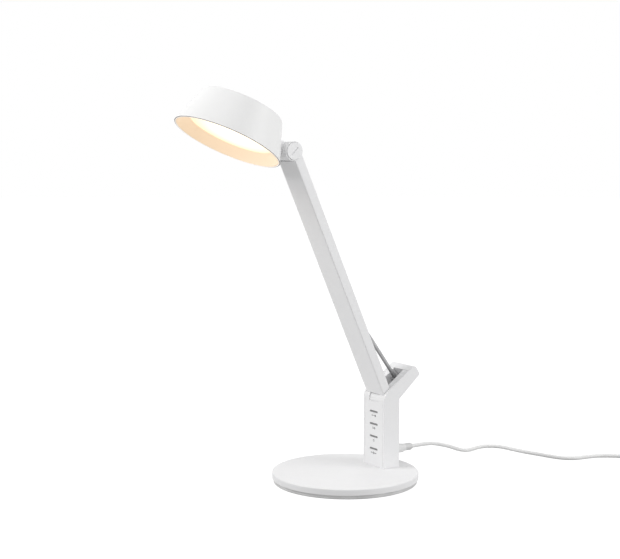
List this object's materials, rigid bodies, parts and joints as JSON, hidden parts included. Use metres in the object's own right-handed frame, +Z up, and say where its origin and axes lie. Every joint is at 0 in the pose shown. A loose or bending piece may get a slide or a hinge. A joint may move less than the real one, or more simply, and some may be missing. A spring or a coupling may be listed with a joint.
{
  "type": "led desk lamp",
  "caption": "White LED desk lamp: round weighted base, Y-shaped post with touch keys, flat sprung arm with a rear strut, tilting round head with a recessed diffuser, and a textile USB cord.",
  "frame": {"origin": "middle of the foot's flat underside", "axes": "+Z up, -Y the front that the touch keys face, +X to the lamp's left as it faces you along its hinge pins"},
  "size_m": [0.2197, 0.5728, 0.3965],
  "materials": {
    "white_plastic": "satin",
    "cord_plastic": "satin",
    "cord_textile": "matte",
    "tie_rubber": "matte",
    "foot_rubber": "matte",
    "dark_plastic": "satin",
    "ballast_steel": "satin",
    "steel": "satin",
    "zinc": "satin",
    "board": "gloss",
    "heat_aluminium": "satin",
    "diffuser_plastic": "satin"
  },
  "bodies": {
    "base": {"foot_pad": "foot_rubber", "base_plate": "dark_plastic", "ballast_plate": "ballast_steel", "base_cover": "white_plastic", "base_screws": "zinc", "post_housing": "white_plastic", "hinge_frame": "white_plastic", "key_bars": "dark_plastic", "touch_board": "board", "control_board": "board", "usb_socket": "zinc", "post_screws": "zinc", "pivot_pin": "steel", "pivot_washers": "zinc", "strut_pin": "steel", "usb_plug_body": "cord_plastic", "usb_plug_shell": "zinc", "cord_run": "cord_textile", "cord_coil": "cord_textile", "cord_tie": "tie_rubber", "usb_a_body": "cord_plastic", "usb_a_shell": "zinc"},
    "arm": {"arm_shell": "white_plastic", "arm_rear_cover": "white_plastic", "arm_lug": "white_plastic", "lug_screws": "zinc", "spring_anchor": "zinc", "balance_spring": "steel", "lead_wire": "dark_plastic", "knuckle_pin": "steel", "tension_screw": "white_plastic", "tension_nut": "white_plastic", "knuckle_washers": "zinc"},
    "carriage": {"slider_carriage": "dark_plastic"},
    "strut": {"strut_rod": "steel", "strut_cross_pin": "steel"},
    "head": {"head_knuckle": "white_plastic", "neck_screws": "zinc", "shade_shell": "white_plastic", "reflector_ring": "white_plastic", "diffuser": "diffuser_plastic", "led_board": "board", "heat_plate": "heat_aluminium", "head_screws": "zinc"}
  },
  "joints": [
    {"name": "arm_tilt", "type": "hinge", "parent": "base", "child": "arm", "pos_m": [0, 0.04575, 0.08], "axis": [1, 0, 0], "range_deg": [-8, 40]},
    {"name": "strut_swing", "type": "hinge", "parent": "base", "child": "strut", "pos_m": [0, 0.06505, 0.09843], "axis": [1, 0, 0], "range_deg": [-9, 42]},
    {"name": "carriage_slide", "type": "slide", "parent": "arm", "child": "carriage", "axis": [0, -0.4099, 0.9121], "range_m": [-0.0195, 0.0045], "deforming": ["balance_spring"]},
    {"name": "head_tilt", "type": "hinge", "parent": "arm", "child": "head", "pos_m": [0, -0.07124, 0.33604], "axis": [1, 0, 0], "range_deg": [-50, 50]}
  ],
  "couplings": [
    {"joint": "strut_swing", "follows": "arm_tilt", "ratio": 1.015},
    {"joint": "carriage_slide", "follows": "arm_tilt", "m_per_rad": -0.0263}
  ]
}
